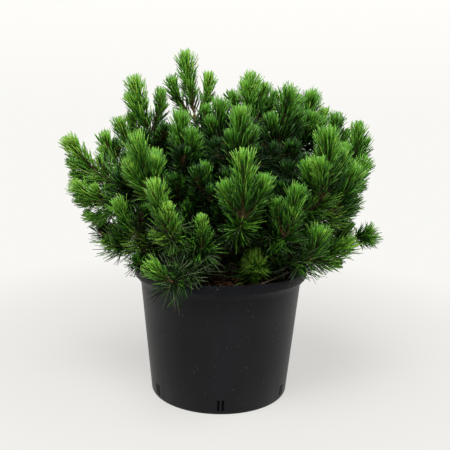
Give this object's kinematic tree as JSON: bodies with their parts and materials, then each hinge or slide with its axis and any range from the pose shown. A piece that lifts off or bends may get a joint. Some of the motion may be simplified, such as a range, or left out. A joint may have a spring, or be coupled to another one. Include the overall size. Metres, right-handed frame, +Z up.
{
  "type": "potted mugo pine",
  "caption": "Bushy dwarf mountain pine with upright needle-clad shoots on curving boughs, growing from a short flared trunk in a round tapered black nursery pot.",
  "frame": {"origin": "centre of the pot's flat underside", "axes": "+Z up along the pot's axis, -Y towards the front of the plant, +X to its right as seen from the front"},
  "size_m": [0.5987, 0.4655, 0.6345],
  "materials": {
    "pot": "moulded, satin",
    "soil": "moist peat and bark substrate",
    "bark": "scaly grey-brown bark",
    "needles": "fresh green needles"
  },
  "bodies": {
    "root": {"pot": "pot", "soil": "soil", "trunk": "bark", "bough_crest": "bark", "bough_left_tower": "bark", "bough_far_left": "bark", "bough_left_front": "bark", "bough_front_left": "bark", "bough_front_centre": "bark", "bough_right_front": "bark", "bough_right_outer": "bark", "bough_right_back": "bark", "bough_back_top": "bark", "bough_low_right": "bark", "bough_left_bottom": "bark", "bough_back_left": "bark", "bough_back_right": "bark", "bough_front_low": "bark", "bough_back_low_left": "bark", "bough_back_low_right": "bark", "bough_left_ball": "bark", "bough_front_right": "bark", "bough_right_side": "bark", "bough_spur_right": "bark", "bough_front_rim_left": "bark", "bough_back": "bark", "needles_crest": "needles", "needles_left_tower": "needles", "needles_far_left": "needles", "needles_left_front": "needles", "needles_front_left": "needles", "needles_front_centre": "needles", "needles_right_front": "needles", "needles_right_outer": "needles", "needles_right_back": "needles", "needles_back_top": "needles", "needles_low_right": "needles", "needles_left_bottom": "needles", "needles_back_left": "needles", "needles_back_right": "needles", "needles_front_low": "needles", "needles_back_low_left": "needles", "needles_back_low_right": "needles", "needles_left_ball": "needles", "needles_front_right": "needles", "needles_right_side": "needles", "needles_spur_right": "needles", "needles_front_rim_left": "needles", "needles_back": "needles", "needles_centre_top": "needles", "needles_right_mid": "needles", "needles_mid_left": "needles", "needles_mid_top": "needles", "needles_inner_front": "needles", "needles_front_pin": "needles", "needles_rim_right": "needles", "needles_left_fill": "needles", "needles_left_low": "needles", "needles_right_shoulder": "needles", "needles_left_horn": "needles"}
  },
  "joints": []
}
